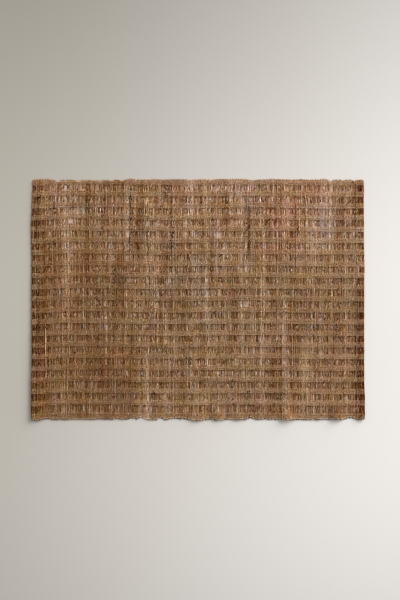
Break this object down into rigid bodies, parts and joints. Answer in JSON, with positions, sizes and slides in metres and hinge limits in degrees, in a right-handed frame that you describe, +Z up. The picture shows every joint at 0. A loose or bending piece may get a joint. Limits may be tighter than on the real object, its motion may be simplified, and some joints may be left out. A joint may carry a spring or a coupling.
{
  "type": "woven ramie placemat",
  "caption": "Rectangular handwoven placemat of raw plant fibre, raised woven bands across bare fibre strips, hemmed at both ends, lying flat",
  "frame": {"origin": "on the table under the middle of the mat", "axes": "+X along the woven bands towards one hemmed end, +Y along the fibre strips towards a selvage, +Z up out of the face"},
  "size_m": [0.5012, 0.3636, 0.0086],
  "materials": {
    "ramie_weave": "dry matte plant fibre, tan woven bands over darker brown bare strips"
  },
  "bodies": {
    "root": {"mat": "ramie_weave"}
  },
  "joints": []
}
